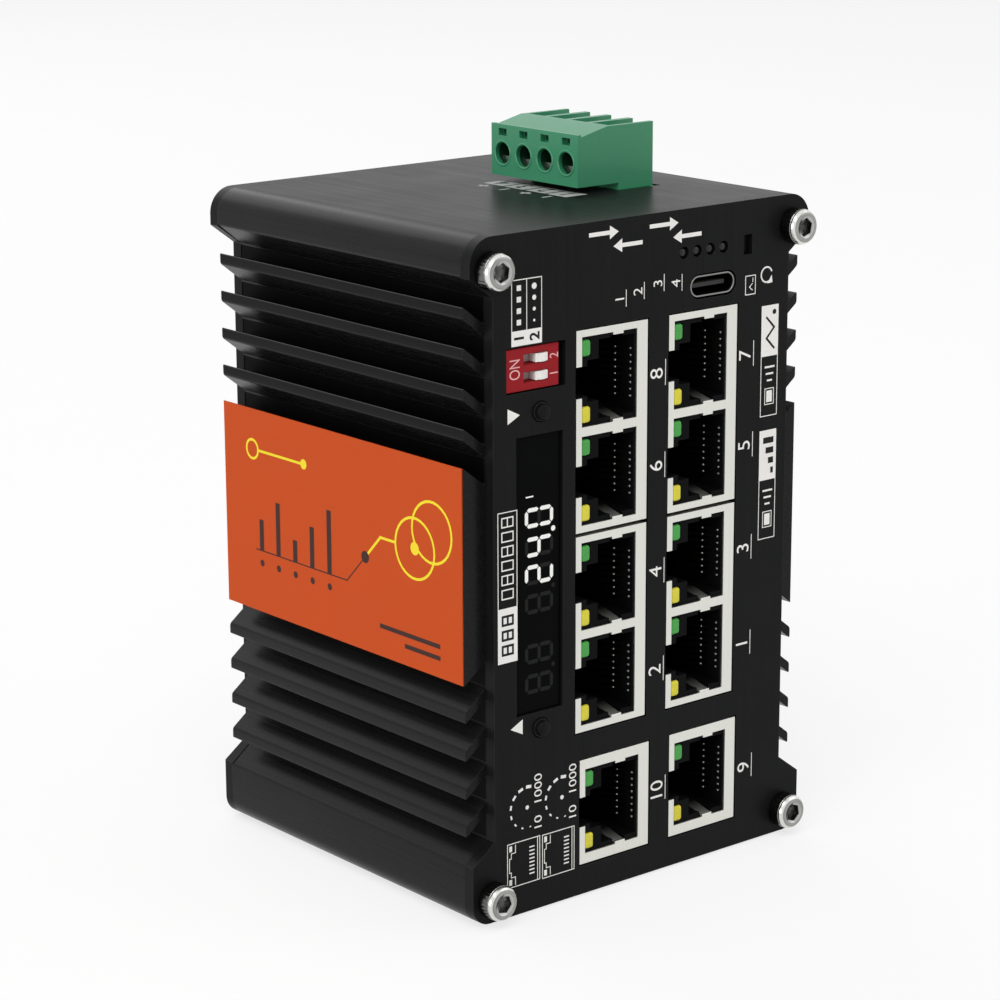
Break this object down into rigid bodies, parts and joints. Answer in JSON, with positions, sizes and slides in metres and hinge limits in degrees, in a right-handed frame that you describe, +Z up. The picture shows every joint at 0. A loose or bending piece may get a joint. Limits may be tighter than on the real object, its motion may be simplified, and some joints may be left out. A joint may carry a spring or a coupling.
{
  "type": "industrial ethernet switch",
  "caption": "Compact rail-mount network switch: finned black case, front panel with two columns of shielded jacks, slide switches, digit display and a pluggable green power terminal on top.",
  "frame": {"origin": "middle of the case's bottom face, halfway between the front panel's face and the rear panel's face", "axes": "+Z up, +X to the right seen from the front, front panel faces -Y"},
  "size_m": [0.067, 0.073, 0.1125],
  "materials": {
    "black_aluminium": "black anodised, brushed along its length",
    "black_panel": "black anodised, fine brushed, printed legends",
    "steel": "satin stainless steel with a knurled edge",
    "tin": "bright tin plate",
    "black_moulding": "fine matte black",
    "gold": "gold-plated spring wire",
    "green_lens": "clear green",
    "yellow_lens": "clear yellow",
    "smoked_lens": "smoked clear",
    "red_moulding": "semi-gloss red",
    "white_moulding": "plain white",
    "display_glass": "smoked acrylic",
    "green_moulding": "satin green",
    "orange_label": "satin printed film",
    "board": "solder mask",
    "chip_black": "moulding compound",
    "pad_grey": "soft pad",
    "bare_aluminium": "milled",
    "zinc": "black powder coat",
    "spring_steel": "bright"
  },
  "bodies": {
    "case": {"housing": "black_aluminium", "front_panel": "black_panel", "rear_panel": "black_panel", "front_screws": "steel", "rear_screws": "steel", "side_label": "orange_label", "port_lenses_green": "green_lens", "port_lenses_yellow": "yellow_lens", "usb_shell": "tin", "usb_tongue": "black_moulding", "status_lights": "smoked_lens", "reset_switch": "black_moulding", "management_board": "board", "dip_body": "red_moulding", "display_window": "display_glass", "display_module": "black_moulding", "button_switches": "black_moulding", "display_board": "board", "display_spacers": "steel", "header_pins": "tin", "terminal_header": "green_moulding", "left_board": "board", "right_board": "board", "power_board": "board", "board_link": "black_moulding", "switch_chip": "chip_black", "thermal_pad": "pad_grey", "heat_block": "bare_aluminium", "power_coil": "chip_black", "power_capacitors": "bare_aluminium", "rail_clip": "zinc", "latch_spring": "spring_steel", "shield_upper_left": "tin", "insert_upper_left": "black_moulding", "contacts_upper_left": "gold", "shield_upper_right": "tin", "insert_upper_right": "black_moulding", "contacts_upper_right": "gold", "shield_lower_left": "tin", "insert_lower_left": "black_moulding", "contacts_lower_left": "gold", "shield_lower_right": "tin", "insert_lower_right": "black_moulding", "contacts_lower_right": "gold", "shield_uplink_left": "tin", "insert_uplink_left": "black_moulding", "contacts_uplink_left": "gold", "shield_uplink_right": "tin", "insert_uplink_right": "black_moulding", "contacts_uplink_right": "gold"},
    "terminal_plug": {"terminal_plug": "green_moulding", "plug_clamps": "steel", "plug_screws": "steel"},
    "upper_button": {"upper_button": "black_moulding"},
    "lower_button": {"lower_button": "black_moulding"},
    "reset_button": {"reset_button": "black_moulding"},
    "dip_slider_1": {"dip_slider_1": "white_moulding"},
    "dip_slider_2": {"dip_slider_2": "white_moulding"},
    "rail_latch": {"rail_latch": "zinc"}
  },
  "joints": [
    {"name": "plug_pull", "type": "slide", "parent": "case", "child": "terminal_plug", "axis": [0, 0, 1], "range_m": [0, 0.009]},
    {"name": "upper_button_press", "type": "slide", "parent": "case", "child": "upper_button", "axis": [0, 1, 0], "range_m": [0, 0.00035], "stiffness_N_per_m": 3000, "springref_m": -0.0001},
    {"name": "lower_button_press", "type": "slide", "parent": "case", "child": "lower_button", "axis": [0, 1, 0], "range_m": [0, 0.00035], "stiffness_N_per_m": 3000, "springref_m": -0.0001},
    {"name": "reset_press", "type": "slide", "parent": "case", "child": "reset_button", "axis": [0, 1, 0], "range_m": [0, 0.00025], "stiffness_N_per_m": 3000, "springref_m": -0.0001},
    {"name": "dip_slide_1", "type": "slide", "parent": "case", "child": "dip_slider_1", "axis": [-1, 0, 0], "range_m": [0, 0.0021]},
    {"name": "dip_slide_2", "type": "slide", "parent": "case", "child": "dip_slider_2", "axis": [-1, 0, 0], "range_m": [0, 0.0021]},
    {"name": "latch_pull", "type": "slide", "parent": "case", "child": "rail_latch", "axis": [0, 0, -1], "range_m": [0, 0.004], "stiffness_N_per_m": 1500, "springref_m": -0.001, "deforming": ["latch_spring"]}
  ]
}
